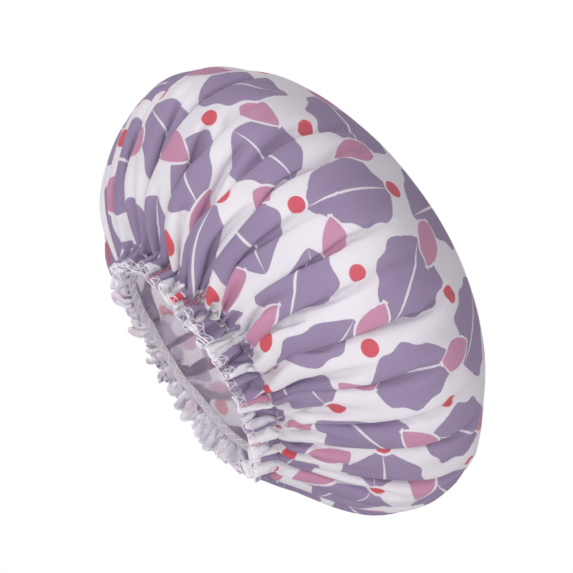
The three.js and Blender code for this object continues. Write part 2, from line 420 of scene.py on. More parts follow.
class Links:
    """Pairs of points that keep their distance in the flat cloth. A point moves by the mean of its pairs."""

    def __init__(self, flat, pairs, tension, compression):
        self.first, self.second = pairs.T
        self.rest = np.linalg.norm(flat[self.first] - flat[self.second], axis=1)
        self.tension, self.compression = tension, compression
        ends = pairs.T.ravel()
        self.order = np.argsort(ends, kind="stable")
        self.points, self.starts, self.counts = np.unique(
            ends[self.order], return_index=True, return_counts=True
        )

    def move(self, points, pace):
        apart = points[self.second] - points[self.first]
        length = np.sqrt(np.einsum("ij,ij->i", apart, apart)) + TINY
        excess = 1 - self.rest / length
        apart *= (0.5 * np.where(excess > 0, self.tension, self.compression) * excess)[:, None]
        steps = np.concatenate([apart, -apart])[self.order]
        summed = np.add.reduceat(steps, self.starts, axis=0)
        points[self.points] += pace * summed / self.counts[:, None]


def summed_at(owners, vectors, count):
    """The sum of the vectors that each point owns."""
    return np.stack([np.bincount(owners, vectors[:, k], count) for k in range(3)], 1)


def area_normals(points, faces):
    """A third of the area of the faces round each point, pointing out of the cloth."""
    a, b, c = (points[faces[:, k]] for k in range(3))
    share = np.repeat(np.cross(b - a, c - a) / 6, 3, axis=0)
    return summed_at(faces.ravel(), share, len(points))


def unit_normals(points, faces):
    normals = area_normals(points, faces)
    return normals / (np.linalg.norm(normals, axis=1)[:, None] + TINY)


def relaxed(cut, points, steps, fold_stiffness):
    """Fills the gathered cloth with a little air and lets it find its cut lengths, held along the elastic."""
    edges, across = linked_pairs(cut.faces)
    stretch = Links(cut.flat, edges, 1, SHORTENING_STIFFNESS)
    bend = Links(cut.flat, across, fold_stiffness, fold_stiffness)
    held = points[cut.pinned].copy()
    own_area = np.linalg.norm(area_normals(cut.flat, cut.faces), axis=1)[:, None]
    weight = SAG * own_area * -picture_up
    air = AIR_PUSH * (cut.arc < GATHER_ARC)[:, None]
    speed = np.zeros_like(points)
    for _ in range(steps):
        speed = SLOWING * speed + air * area_normals(points, cut.faces) + weight
        before = points.copy()
        points = points + speed
        for _ in range(PASSES):
            stretch.move(points, STRETCH_PACE)
            bend.move(points, FOLD_PACE)
            points[cut.pinned] = held
        speed = points - before
    return points


def smoothed(points, faces, rounds):
    """Takes the mesh's own grain out of the folds without shrinking them."""
    edges, _ = linked_pairs(faces)
    ends = np.concatenate([edges[:, 0], edges[:, 1]])
    others = np.concatenate([edges[:, 1], edges[:, 0]])
    count = np.bincount(ends, minlength=len(points))[:, None]
    for turn in range(2 * rounds):
        mean = summed_at(ends, points[others], len(points)) / count
        points = points + (SMOOTH_IN if turn % 2 == 0 else SMOOTH_OUT) * (mean - points)
    return points


def settled(cut, points):
    """Lets the dome sink to its height, its shoulders round off and its underside hang past the elastic."""
    radius = np.hypot(points[:, 0], points[:, 1])
    loose = ease(radius, HELD_UP_TO * GATHER_RADIUS, LOOSE_FROM * GATHER_RADIUS)
    loose = np.where(points[:, 2] > DOME_MIDDLE, 1, loose)
    loose = np.where(cut.arc > GATHER_ARC - ROUGH.rim_step, 0, loose)
    above = points[:, 2] - GATHER_HEIGHT
    rounding = SHOULDER_ROUNDING * ease(radius, SHOULDER_START * DOME_RADIUS, DOME_RADIUS) * loose
    above = above - rounding * (points[:, 2] - DOME_MIDDLE)
    sink = (DOME_TOP - GATHER_HEIGHT + UNDERSIDE_SAG) / above.max()
    lean = UNDERSIDE_LEAN * (1 - ease(points[:, 2], DOME_MIDDLE / 2, 1.5 * DOME_MIDDLE))
    moved = points.copy()
    moved[:, 2] = GATHER_HEIGHT + np.where(above > 0, sink * above, above) - UNDERSIDE_SAG * loose
    moved[:, 2] += lean * loose * points[:, 1]
    moved[:, 1] -= FORWARD_SHIFT * loose
    return moved


def posed(cut, points):
    """Turns the relaxed frill to its lean round the rim, with the pleats of its far side pressed flatter."""
    points = points.copy()
    for k, arc in enumerate(cut.ring_arc):
        past = arc - GATHER_ARC
        if past <= PINNED_WIDTH:
            continue
        ring = slice(cut.ring_start[k], cut.ring_start[k + 1])
        angle = cut.ring_angles(k)
        out = round_point(1, angle, 0 * angle)
        up = np.array([0, 0, 1.0])
        waves = np.fft.rfft(points[ring], axis=0)
        waves[FRILL_WAVES:] = 0
        mean = np.fft.irfft(waves, cut.ring_count[k], axis=0)
        level = GATHER_HEIGHT - rim_dip(angle)
        was = np.arctan2((mean * out).sum(1) - GATHER_RADIUS, level - mean[:, 2])
        outward, down, lean = frill_course(past, angle)
        pleat = points[ring] - mean
        pleat *= 1 - FAR_PRESS * np.maximum(0, -np.sin(angle))[:, None]
        pleat_out, pleat_up = (pleat * out).sum(1), pleat[:, 2]
        turn = lean - was
        shift_out = np.cos(turn) * pleat_out - np.sin(turn) * pleat_up - pleat_out
        shift_up = np.sin(turn) * pleat_out + np.cos(turn) * pleat_up - pleat_up
        target = pleat + out * (GATHER_RADIUS + outward + shift_out)[:, None]
        target += up * (level - down + shift_up)[:, None]
        share = ease(past, PINNED_WIDTH, FULLY_POSED * PINNED_WIDTH)
        points[ring] += share * (target - points[ring])
    return points


def clear_of_frill(cut, points):
    """Lifts the dome's loose underside off the frill where the frill is turned out beneath it."""
    angle = np.arctan2(points[:, 0], -points[:, 1]) % math.tau
    out = np.maximum(0, np.hypot(points[:, 0], points[:, 1]) - GATHER_RADIUS)
    full = np.radians(np.maximum(frill_lean_degrees(angle), ROOM_LEAST_LEAN))
    reach = frill_bend(angle) / full
    bend_end = reach * (1 - np.cos(full))
    bending = reach * np.sin(np.arccos(np.clip(1 - out / reach, -1, 1)))
    straight = reach * np.sin(full) + np.cos(full) / np.sin(full) * (out - bend_end)
    level = GATHER_HEIGHT - rim_dip(angle)
    shelf = level - np.where(out < bend_end, bending, straight) + FRILL_ROOM
    frill_end, _, _ = frill_course(FRILL_LENGTH, angle)
    share = ease(full, *np.radians(ROOM_LEANS)) * ease(out, *ROOM_STARTS)
    share = share * (1 - ease(out, frill_end + ROOM_ENDS[0], frill_end + ROOM_ENDS[1]))
    share = np.where((cut.arc < GATHER_ARC) & (points[:, 2] < DOME_MIDDLE), share, 0)
    lacking = (shelf - points[:, 2]) / FRILL_ROOM_SOFTNESS
    moved = points.copy()
    moved[:, 2] += share * FRILL_ROOM_SOFTNESS * np.logaddexp(0, lacking)
    return moved


def gathered_cloth():
    """The cover's cloth, relaxed on a rough mesh and then on a fine one, which makes the valleys sharp."""
    rough = gathered_start(ROUGH)
    uneven = rough + rng.normal(0, START_UNEVENNESS, rough.shape)
    rough = relaxed(ROUGH, uneven, ROUGH_STEPS, ROUGH_FOLD_STIFFNESS)
    fine = smoothed(ROUGH.carried(rough, FINE), FINE.faces, 1)
    fine[FINE.pinned] = gathered_start(FINE)[FINE.pinned]
    fine = relaxed(FINE, fine, FINE_STEPS, FINE_FOLD_STIFFNESS)
    return posed(FINE, smoothed(fine, FINE.faces, 1))


cloth = clear_of_frill(FINE, settled(FINE, gathered_cloth()))
cloth_normals = unit_normals(cloth, FINE.faces)


def row_on_cloth(arc, angles, lift):
    """Points at one distance from the crown along the cover, lifted off its outer face."""
    return FINE.row(cloth + lift * cloth_normals, arc, angles)


# Meshes

def scene_object(name, data):
    made = bpy.data.objects.new(name, data)
    bpy.context.scene.collection.objects.link(made)
    return made


def mesh_piece(name, points, faces, material):
    mesh = bpy.data.meshes.new(name)
    mesh.from_pydata(np.asarray(points).tolist(), [], faces)
    mesh.polygons.foreach_set("use_smooth", [True] * len(mesh.polygons))
    mesh.materials.append(material)
    return scene_object(name, mesh)


def corner_vertices(mesh):
    """The vertex at each corner of each face."""
    corner = np.empty(len(mesh.loops), dtype=np.int32)
    mesh.loops.foreach_get("vertex_index", corner)
    return corner


def add_map(mesh, name, per_corner):
    """A UV map from one place for each corner of each face."""
    layer = mesh.uv_layers.new(name=name)
    layer.data.foreach_set("uv", np.asarray(per_corner, dtype=np.float32).ravel())


def quads_between(rings, sides, closed):
    """Quads from each ring of points to the next."""
    faces = []
    for i in range(rings if closed else rings - 1):
        here, there = i * sides, (i + 1) % rings * sides
        for j in range(sides):
            k = (j + 1) % sides
            faces.append((here + j, here + k, there + k, there + j))
    return faces


def tube(path, radius, closed=True):
    """Vertices and quads of a round thread along a path."""
    path = np.asarray(path)
    ahead = np.roll(path, -1, 0) - np.roll(path, 1, 0)
    if not closed:
        ahead[0], ahead[-1] = path[1] - path[0], path[-1] - path[-2]
    ahead = ahead / (np.linalg.norm(ahead, axis=1)[:, None] + TINY)
    away = path * np.array([1, 1, 0])
    side = np.cross(ahead, away)
    weak = np.linalg.norm(side, axis=1) < TINY
    side[weak] = np.cross(ahead[weak], [0, 0, 1.0])
    side = side / np.linalg.norm(side, axis=1)[:, None]
    over = np.cross(side, ahead)
    turn = math.tau * np.arange(THREAD_SIDES) / THREAD_SIDES
    ring = side[:, None] * np.cos(turn)[None, :, None] + over[:, None] * np.sin(turn)[None, :, None]
    points = (path[:, None] + radius * ring).reshape(-1, 3)
    faces = quads_between(len(path), THREAD_SIDES, closed)
    if not closed:
        faces.append(tuple(range(THREAD_SIDES))[::-1])
        faces.append(tuple(range(len(points) - THREAD_SIDES, len(points))))
    return points, faces


def joined(parts):
    """Several vertex and face lists as one."""
    points, faces, first = [], [], 0
    for part_points, part_faces in parts:
        points.append(part_points)
        faces.extend(tuple(first + v for v in face) for face in part_faces)
        first += len(part_points)
    return np.vstack(points), faces


def thread_piece(name, parts):
    return mesh_piece(name, *joined(parts), THREAD)


# Materials

class Nodes:
    """Short calls for building a material's nodes."""

    def __init__(self, name):
        self.material = bpy.data.materials.new(name)
        self.material.use_nodes = True
        self.tree = self.material.node_tree
        self.shader = self.tree.nodes["Principled BSDF"]

    def node(self, kind, **settings):
        made = self.tree.nodes.new(kind)
        for key, value in settings.items():
            setattr(made, key, value)
        return made

    def feed(self, socket, value):
        if isinstance(value, bpy.types.NodeSocket):
            self.tree.links.new(value, socket)
        else:
            socket.default_value = value

    def math(self, operation, *values):
        made = self.node("ShaderNodeMath", operation=operation)
        for socket, value in zip(made.inputs, values):
            self.feed(socket, value)
        return made.outputs[0]

    def add(self, a, b):
        return self.math("ADD", a, b)

    def less(self, a, b):
        return self.math("SUBTRACT", a, b)

    def times(self, a, b):
        return self.math("MULTIPLY", a, b)

    def graded(self, base, share, change):
        """A value that starts at base and changes with share."""
        return self.add(base, self.times(share, change))

    def fill(self, made, **values):
        """Feeds a node's sockets by their names, with _ for a space."""
        for key, value in values.items():
            self.feed(made.inputs[key.replace("_", " ")], value)

    def set(self, **values):
        self.fill(self.shader, **values)

    def ramp(self, value, low, high):
        """0 below low, 1 above high."""
        made = self.node("ShaderNodeMapRange", interpolation_type="SMOOTHSTEP")
        self.fill(made, Value=value, From_Min=low, From_Max=high)
        return made.outputs["Result"]

    def mix(self, share, a, b, blend="MIX"):
        made = self.node("ShaderNodeMix", data_type="RGBA", blend_type=blend)
        self.fill(made, Factor=share, A=a, B=b)
        return made.outputs["Result"]

    def place(self, map_name):
        """The two coordinates of a UV map."""
        source = self.node("ShaderNodeUVMap", uv_map=map_name)
        apart = self.node("ShaderNodeSeparateXYZ")
        self.feed(apart.inputs[0], source.outputs[0])
        return source.outputs[0], apart.outputs[0], apart.outputs[1]

    def noise(self, place, scale, detail=2.0, roughness=0.5):
        made = self.node("ShaderNodeTexNoise")
        self.fill(made, Vector=place, Scale=scale, Detail=detail, Roughness=roughness)
        return made.outputs["Fac"]

    def bump(self, height, strength, distance, onto=None):
        made = self.node("ShaderNodeBump")
        self.fill(made, Height=height, Strength=strength, Distance=distance)
        if onto is not None:
            self.fill(made, Normal=onto)
        return made.outputs["Normal"]


def colour(red, green, blue):
    """A screen colour, 0 to 255, as the linear colour that a shader takes."""
    linear = [((c / 255 + 0.055) / 1.055) ** 2.4 for c in (red, green, blue)]
    return (*linear, 1.0)


# Colours and sizes of the print
GROUND = colour(241, 239, 242)
LILAC = colour(158, 141, 174)
PINK = colour(207, 147, 176)
RED = colour(219, 84, 98)
LEAF_CELL = 62 * MM
LEAF_LENGTH = 61 * MM
LEAF_WIDTH = 46 * MM
LEAF_TAPER = 0.75
LEAF_NARROWING = -0.28
LEAF_LOBES = 0.06
LOBE_TURNS = 11.0
SPRIG_LENGTH = 30 * MM
SPRIG_WIDTH = 17 * MM
BERRY_RADIUS = 5.2 * MM
OUTLINE_WIDTH = 1.6 * MM
MIDRIB_WIDTH = 0.8 * MM

# Where the layout starts on the cloth, and where each motif lies in it, as shares of a cell
PRINT_START = (9 * MM, 4 * MM)
LEAF_PLACE = (0, 0)
SPRIG_PLACE = (0.5, 0.25)
BERRY_PLACE = (0.52, 0.78)

# Shades and fineness of the materials
CLEAR = (0.96, 0.95, 0.96, 1)
WORN_SHADE = (0.80, 0.78, 0.82, 1)
WEAR = 0.10
GRAIN_SHADE = (0.55, 0.5, 0.56, 1)
GRAIN = 0.04
WEAVE_PITCH = 0.55 * MM
FILM_SHADES = ((0.80, 0.74, 0.85, 1), (0.92, 0.88, 0.94, 1))
# The webbing's darker shade is painted shade in the grooves between its cords
WEBBING_PAINTED_SHADE_AND_CROWN = ((0.42, 0.38, 0.43, 1), (0.52, 0.48, 0.53, 1))
WEBBING_CORDS = 5
WEBBING_PICKS = 420
# The thread's darker shade is painted shade between its plies
THREAD_PAINTED_SHADE_AND_PLY = ((0.60, 0.57, 0.61, 1), (0.76, 0.73, 0.76, 1))
FLOOR_SHADES = ((0.84, 0.84, 0.84, 1), (0.87, 0.87, 0.87, 1))


def lattice(g, x, y, place):
    """Where a point lies in its cell of a half-drop layout, and a number drawn for that cell."""
    start_x, start_y = (start + LEAF_CELL * share for start, share in zip(PRINT_START, place))
    across = g.math("DIVIDE", g.add(x, start_x), LEAF_CELL)
    column = g.math("FLOOR", across)
    drop = g.times(g.math("FLOORED_MODULO", column, 2.0), 0.5)
    down = g.add(g.math("DIVIDE", g.add(y, start_y), LEAF_CELL), drop)
    row = g.math("FLOOR", down)
    u = g.times(g.less(g.less(across, column), 0.5), LEAF_CELL)
    v = g.times(g.less(g.less(down, row), 0.5), LEAF_CELL)
    name = g.node("ShaderNodeCombineXYZ")
    g.feed(name.inputs[0], column)
    g.feed(name.inputs[1], row)
    draw = g.node("ShaderNodeTexWhiteNoise", noise_dimensions="2D")
    g.feed(draw.inputs["Vector"], name.outputs[0])
    return u, v, draw.outputs["Value"]


def turned_by_chance(g, u, v, draw):
    """The same place along and beside a line that is turned by the number drawn."""
    angle = g.times(draw, math.tau)
    cosine, sine = g.math("COSINE", angle), g.math("SINE", angle)
    along = g.add(g.times(u, cosine), g.times(v, sine))
    beside = g.less(g.times(v, cosine), g.times(u, sine))
    return along, beside


def leaf_shape(g, along, beside, length, width, lobes):
    """How far inside a leaf's outline a point lies, and its place along the leaf from -1 to 1."""
    share = g.math("DIVIDE", along, length / 2)
    taper = g.math("MAXIMUM", g.less(1.0, g.times(share, share)), 0.0)
    taper = g.math("POWER", taper, LEAF_TAPER)
    fuller = g.graded(1.0, share, LEAF_NARROWING)
    scallop = g.graded(1.0, g.math("COSINE", g.times(share, LOBE_TURNS)), lobes)
    half = g.times(g.times(taper, fuller), g.times(scallop, width / 2))
    within = g.less(half, g.math("ABSOLUTE", beside))
    return g.math("MINIMUM", within, g.less(length / 2, g.math("ABSOLUTE", along))), share


def print_colour(g, x, y, softness):
    """Broad lilac leaves, small pink leaves and red berries on white. softness blurs their outlines."""
    def inside(depth, margin=0.0):
        return g.ramp(depth, -softness - margin, softness - margin)

    along, beside = turned_by_chance(g, *lattice(g, x, y, LEAF_PLACE))
    leaf, share = leaf_shape(g, along, beside, LEAF_LENGTH, LEAF_WIDTH, LEAF_LOBES)
    rib_taper = g.times(g.less(1.0, g.times(share, share)), MIDRIB_WIDTH)
    rib = g.less(rib_taper, g.math("ABSOLUTE", beside))
    shade = g.mix(inside(leaf), GROUND, LILAC)
    shade = g.mix(g.times(inside(rib), inside(leaf)), shade, GROUND)

    along, beside = turned_by_chance(g, *lattice(g, x, y, SPRIG_PLACE))
    sprig, _ = leaf_shape(g, along, beside, SPRIG_LENGTH, SPRIG_WIDTH, lobes=0.0)
    shade = g.mix(inside(sprig, OUTLINE_WIDTH), shade, GROUND)
    shade = g.mix(inside(sprig), shade, PINK)

    u, v, _ = lattice(g, x, y, BERRY_PLACE)
    reach = g.math("SQRT", g.add(g.times(u, u), g.times(v, v)))
    berry = g.less(BERRY_RADIUS, reach)
    shade = g.mix(inside(berry, OUTLINE_WIDTH), shade, GROUND)
    return g.mix(inside(berry), shade, RED)


# The map that shows each point of a sheet where it lies on the flat cut, in a square so many metres wide
CUT_MAP = "cut"
MAP_WIDTH = 0.7


def cut_place(g):
    """Coordinates on the flat cut, in metres."""
    place, u, v = g.place(CUT_MAP)
    x = g.times(g.less(u, 0.5), MAP_WIDTH)
    y = g.times(g.less(v, 0.5), MAP_WIDTH)
    return place, x, y


def weave(g, x, y, pitch):
    """Height of a plain weave, over and under by turns."""
    warp = g.math("SINE", g.times(x, math.tau / pitch))
    weft = g.math("SINE", g.times(y, math.tau / pitch))
    return g.times(warp, weft)


def printed_cotton(name, softness, strength, glow, tint):
    """Cotton with the print at some strength. A share of the light glows through, tinted or clear."""
    g = Nodes(name)
    place, x, y = cut_place(g)
    shade = g.mix(strength, GROUND, print_colour(g, x, y, softness))
    worn = g.ramp(g.noise(place, scale=60.0, detail=4.0, roughness=0.6), low=0.3, high=0.75)
    shade = g.mix(g.times(worn, WEAR), shade, WORN_SHADE, "MULTIPLY")
    grain = weave(g, x, y, WEAVE_PITCH)
    shade = g.mix(g.graded(GRAIN, grain, GRAIN), shade, GRAIN_SHADE, "MULTIPLY")
    crumple = g.noise(place, scale=30.0, detail=5.0, roughness=0.55)
    normal = g.bump(crumple, strength=0.25, distance=2.0 * MM)
    normal = g.bump(grain, strength=0.25, distance=0.06 * MM, onto=normal)
    g.set(Base_Color=shade, Roughness=g.graded(base=0.78, share=worn, change=0.14), Normal=normal)
    g.set(Sheen_Weight=0.12, Sheen_Roughness=0.5, Specular_IOR_Level=0.25)
    through = g.node("ShaderNodeBsdfTranslucent")
    g.fill(through, Color=g.mix(tint, CLEAR, shade))
    both = g.node("ShaderNodeMixShader")
    both.inputs[0].default_value = glow
    g.feed(both.inputs[1], g.shader.outputs[0])
    g.feed(both.inputs[2], through.outputs[0])
    g.feed(g.tree.nodes["Material Output"].inputs["Surface"], both.outputs[0])
    return g.material


def liner_film():
    """Clear film with a lilac haze."""
    g = Nodes("liner_film")
    place, _, _ = g.place(CUT_MAP)
    haze = g.noise(place, scale=22.0, detail=4.0, roughness=0.6)
    shade = g.mix(g.ramp(haze, low=0.3, high=0.7), *FILM_SHADES)
    ripple = g.noise(place, scale=45.0, detail=3.0, roughness=0.5)
    normal = g.bump(ripple, strength=0.35, distance=1.2 * MM)
    g.set(Base_Color=shade, Roughness=g.graded(base=0.28, share=haze, change=0.2), Normal=normal)
    g.set(Alpha=0.4, Specular_IOR_Level=0.4)
    return g.material


def elastic_webbing():
    """Covered elastic, with cords along it and finer picks across, and painted shade in the grooves between
    them.
    """
    g = Nodes("elastic_webbing")
    _, u, v = g.place(CUT_MAP)
    cords = g.math("SINE", g.times(v, math.tau * WEBBING_CORDS))
    picks = g.math("SINE", g.times(u, math.tau * WEBBING_PICKS))
    rise = g.graded(base=cords, share=picks, change=0.35)
    # Lighter on the cords' crowns and darker in their grooves: painted shade in the grooves, on top of the
    # bump
    shade = g.mix(g.ramp(rise, low=-1.2, high=1.2), *WEBBING_PAINTED_SHADE_AND_CROWN)
    normal = g.bump(rise, strength=0.5, distance=0.12 * MM)
    g.set(Base_Color=shade, Roughness=g.graded(base=0.66, share=cords, change=0.06), Normal=normal)
    g.set(Sheen_Weight=0.1)
    return g.material


def sewing_thread():
    g = Nodes("sewing_thread")
    source = g.node("ShaderNodeNewGeometry").outputs["Position"]
    twist = g.node("ShaderNodeTexWave", wave_type="BANDS", bands_direction="DIAGONAL")
    g.fill(twist, Vector=source, Scale=900.0, Distortion=1.5)
    ply = twist.outputs["Fac"]
    # Darker between the plies and lighter on them: painted shade between the plies of the twist
    shade = g.mix(ply, *THREAD_PAINTED_SHADE_AND_PLY)
    normal = g.bump(ply, strength=0.4, distance=0.08 * MM)
    g.set(Base_Color=shade, Roughness=g.graded(base=0.5, share=ply, change=0.15), Normal=normal)
    return g.material


COTTON = printed_cotton("printed_cotton", softness=0.25 * MM, strength=1.0, glow=0.52, tint=0.7)
COTTON_BACK = printed_cotton("printed_cotton_back", softness=4.0 * MM, strength=0.4, glow=0.85, tint=0.0)
FILM = liner_film()
WEBBING = elastic_webbing()
THREAD = sewing_thread()


# The cover

# A second map, named OFBake: the cloth's two faces are rounds side by side, and the film is one round
BAKE_MAP = "OFBake"
PAIR_RADIUS = 0.28
PAIR_CENTRES = (0.29, 0.71)
EDGE_RADIUS = 1.02 * PAIR_RADIUS
SINGLE_RADIUS = 0.48


def cut_uv(points):
    """The flat cut in the middle of its square map."""
    return 0.5 + points[:, :2] / MAP_WIDTH


def round_uv(centre, radius):
    """The flat cut as a round of its own in a square map."""
    return centre + FINE.flat[:, :2] * radius / CUT_RADIUS


def make_cover():
    """The cloth with its thickness: a printed outer face, the paler back of the print and the cut edge."""
    count = len(cloth)
    edge = np.arange(FINE.ring_start[-2], count)
    edge_next = np.roll(edge, -1)
    points = np.vstack([cloth, cloth - CLOTH_THICKNESS * cloth_normals])
    border = np.stack([edge, edge + count, edge_next + count, edge_next], 1)
    faces = FINE.faces.tolist() + (FINE.faces[:, ::-1] + count).tolist() + border.tolist()
    piece = mesh_piece("outer_cover_cloth", points, faces, COTTON)
    piece.data.materials.append(COTTON_BACK)
    index = [0] * len(FINE.faces) + [1] * len(FINE.faces) + [0] * len(border)
    piece.data.polygons.foreach_set("material_index", index)
    corner = corner_vertices(piece.data)
    add_map(piece.data, CUT_MAP, np.tile(cut_uv(FINE.flat), (2, 1))[corner])
    sides = np.vstack([round_uv(centre, PAIR_RADIUS) for centre in PAIR_CENTRES])[corner]
    edge_corners = slice(-4 * len(border), None)
    rim = np.vstack([round_uv(PAIR_CENTRES[0], radius) for radius in (PAIR_RADIUS, EDGE_RADIUS)])
    sides[edge_corners] = rim[corner[edge_corners]]
    add_map(piece.data, BAKE_MAP, sides)
    return piece


# The liner

MIDDLE = np.array([0, 0, 80 * MM])
POLAR_BINS = 60
ROUND_BINS = 150
LAST_ROW = POLAR_BINS - 1.001
NARROWINGS = 3
SMOOTHINGS = 8
RIM_MARGIN = 2 * MM
LINER_GAP = 2.0 * MM
LINER_BEHIND = 0.8 * MM
# How far before the elastic the film starts to follow the gathers, and follows them wholly
FOLLOWS_FROM = 12 * MM
FOLLOWS_BY = 1 * MM


def stacked_beside(grid):
    """A grid over the sphere, moved by one row up and one row down."""
    return np.vstack([grid[:1], grid[:-1]]), np.vstack([grid[1:], grid[-1:]])


def inner_envelope():
    """A smooth closed form just inside every fold of the cover, as distances from the dome's middle."""
    on_dome = FINE.arc < GATHER_ARC - RIM_MARGIN
    from_middle = cloth[on_dome] - MIDDLE
    reach = np.linalg.norm(from_middle, axis=1)
    polar = np.arccos(np.clip(from_middle[:, 2] / reach, -1, 1))
    around = np.arctan2(from_middle[:, 0], -from_middle[:, 1]) % math.tau
    row = np.minimum((polar / math.pi * POLAR_BINS).astype(int), POLAR_BINS - 1)
    column = (around / math.tau * ROUND_BINS).astype(int) % ROUND_BINS
    nearest = np.full((POLAR_BINS, ROUND_BINS), np.inf)
    np.minimum.at(nearest, (row, column), reach)
    for _ in range(POLAR_BINS):
        empty = np.isinf(nearest)
        if not empty.any():
            break
        beside = [np.roll(nearest, 1, 1), np.roll(nearest, -1, 1), *stacked_beside(nearest)]
        nearest = np.where(empty, np.minimum.reduce(beside), nearest)
    for _ in range(NARROWINGS):
        nearest = np.minimum.reduce([nearest, np.roll(nearest, 1, 1), np.roll(nearest, -1, 1)])
    for _ in range(SMOOTHINGS):
        nearest = (np.roll(nearest, 1, 1) + 2 * nearest + np.roll(nearest, -1, 1)) / 4
        above, below = stacked_beside(nearest)
        nearest = (above + 2 * nearest + below) / 4
    return nearest - LINER_GAP


def sample(grid, polar, around):
    """Reads a grid over the sphere between its bins."""
    row = np.clip(polar / math.pi * POLAR_BINS - 0.5, 0, LAST_ROW)
    column = (around / math.tau * ROUND_BINS - 0.5) % ROUND_BINS
    r, c = row.astype(int), column.astype(int)
    fr, fc = row - r, column - c
    c2 = (c + 1) % ROUND_BINS
    c = c % ROUND_BINS
    top = grid[r, c] * (1 - fc) + grid[r, c2] * fc
    low = grid[r + 1, c] * (1 - fc) + grid[r + 1, c2] * fc
    return top * (1 - fr) + low * fr


def make_liner():
    """The film, smooth inside the folds of the cover and gathered with it along the elastic and the frill."""
    envelope = inner_envelope()
    on_dome = np.minimum(FINE.arc, GATHER_ARC)
    radius, height = np.interp(on_dome, ARC, ARC_RADIUS), np.interp(on_dome, ARC, ARC_HEIGHT)
    polar = np.arctan2(radius, height - MIDDLE[2])
    direction = round_point(np.sin(polar), FINE.angle, np.cos(polar))
    smooth_dome = MIDDLE + direction * sample(envelope, polar, FINE.angle)[:, None]
    follow = cloth - LINER_BEHIND * cloth_normals
    share = ease(FINE.arc, GATHER_ARC - FOLLOWS_FROM, GATHER_ARC - FOLLOWS_BY)[:, None]
    points = smooth_dome * (1 - share) + follow * share
    piece = mesh_piece("liner_film_sheet", points, FINE.faces.tolist(), FILM)
    corner = corner_vertices(piece.data)
    add_map(piece.data, CUT_MAP, cut_uv(FINE.flat)[corner])
    add_map(piece.data, BAKE_MAP, round_uv(0.5, SINGLE_RADIUS)[corner])
    return piece


# The elastic and its sewing

BAND_SEGMENTS = 240
BAND_RIBS = 11
BAND_FLAT_SHARE = 0.94
BAND_EDGE_HALF = 0.12 * MM
BAND_MID_RADIUS = BAND_OUTER - BAND_THICKNESS / 2
# Size, waves round the ring and shift of each swing up and down that the sewn elastic makes
BAND_SWAYS = ((0.25 * MM, 9, 0), (0.2 * MM, 17, 1))


def band_point(angle, across, depth):
    """A point of the elastic: across its width from its middle, and out from its mid face."""
    sway = sum(size * np.sin(waves * angle + shift) for size, waves, shift in BAND_SWAYS)
    return round_point(BAND_MID_RADIUS + depth, angle, GATHER_HEIGHT - rim_dip(angle) + across + sway)


def make_band():
    """A flat woven elastic with rounded edges, sewn into a ring."""
    section = []
    for side in (1, -1):
        for rib in range(BAND_RIBS):
            across = side * BAND_WIDTH * (0.5 - rib / (BAND_RIBS - 1)) * BAND_FLAT_SHARE
            section.append((across, side * BAND_THICKNESS / 2))
        section.append((-side * BAND_WIDTH / 2, side * BAND_EDGE_HALF))
        section.append((-side * BAND_WIDTH / 2, -side * BAND_EDGE_HALF))
    angle = math.tau * np.arange(BAND_SEGMENTS) / BAND_SEGMENTS
    rows = [band_point(angle, across, depth) for across, depth in section]
    points = np.stack(rows, 1).reshape(-1, 3)
    faces = quads_between(BAND_SEGMENTS, len(section), closed=True)
    piece = mesh_piece("elastic_band_webbing", points, faces, WEBBING)
    across = np.array([a / BAND_WIDTH + 0.5 for a, _ in section])
    turn = np.repeat(angle / math.tau, len(section))
    places = np.stack([turn, np.tile(across, BAND_SEGMENTS)], 1)
    add_map(piece.data, CUT_MAP, places[corner_vertices(piece.data)])
    return piece


def round_angles(count):
    return np.linspace(0, math.tau, count, endpoint=False)


def zigzag(turns):
    """A straight swing to and fro between -1 and 1."""
    return 2 / math.pi * np.arcsin(np.sin(turns))


def make_band_seam():
    """The zigzag that sews the elastic down, on its inner face."""
    zigzags = round(math.tau * BAND_OUTER / ZIGZAG_PITCH)
    angle = round_angles(zigzags * ZIGZAG_POINTS)
    swing = ZIGZAG_HALF_WIDTH * zigzag(zigzags * angle)
    path = band_point(angle, swing, -BAND_THICKNESS / 2 - OVER_BAND)
    return thread_piece("elastic_seam_stitches", [tube(path, THREAD_RADIUS)])


def make_bartack():
    """Close stitches over the overlap of the elastic's two ends."""
    turn = np.linspace(-0.5, 0.5, BARTACK_STITCHES * STITCH_POINTS + 1)
    angle = JOIN_ANGLE + turn * BARTACK_LENGTH / BAND_OUTER
    swing = BARTACK_WIDTH / 2 * zigzag(math.tau * BARTACK_STITCHES * turn)
    path = band_point(angle, swing, -BAND_THICKNESS / 2 - OVER_BAND_SEAM)
    return thread_piece("elastic_join_stitches", [tube(path, THREAD_RADIUS, closed=False)])


def make_casing_stitch():
    """A lockstitch through the gathers, which dips into the cloth between stitches."""
    stitches = round(math.tau * GATHER_ARC / STITCH_LENGTH)
    angle = round_angles(stitches * STITCH_POINTS)
    arc = GATHER_ARC + PINNED_WIDTH / 2
    high = row_on_cloth(arc, angle, OVER_CLOTH)
    low = row_on_cloth(arc, angle, IN_CLOTH)
    dip = np.clip(STITCH_DIP * (1 - np.cos(stitches * angle)) - 1, 0, 1)[:, None]
    path = high + (low - high) * dip
    return thread_piece("casing_stitches", [tube(path, THREAD_RADIUS)])


def make_needle_line():
    """The overlock's needle thread, a row of stitches a little way in from the cut edge."""
    stitches = round(math.tau * CUT_RADIUS / OVERLOCK_PITCH)
    angle = round_angles(stitches * NEEDLE_POINTS)
    path = row_on_cloth(CUT_RADIUS - OVERLOCK_WIDTH, angle, OVER_CLOTH)
    return thread_piece("overlock_needle_stitches", [tube(path, THREAD_RADIUS)])


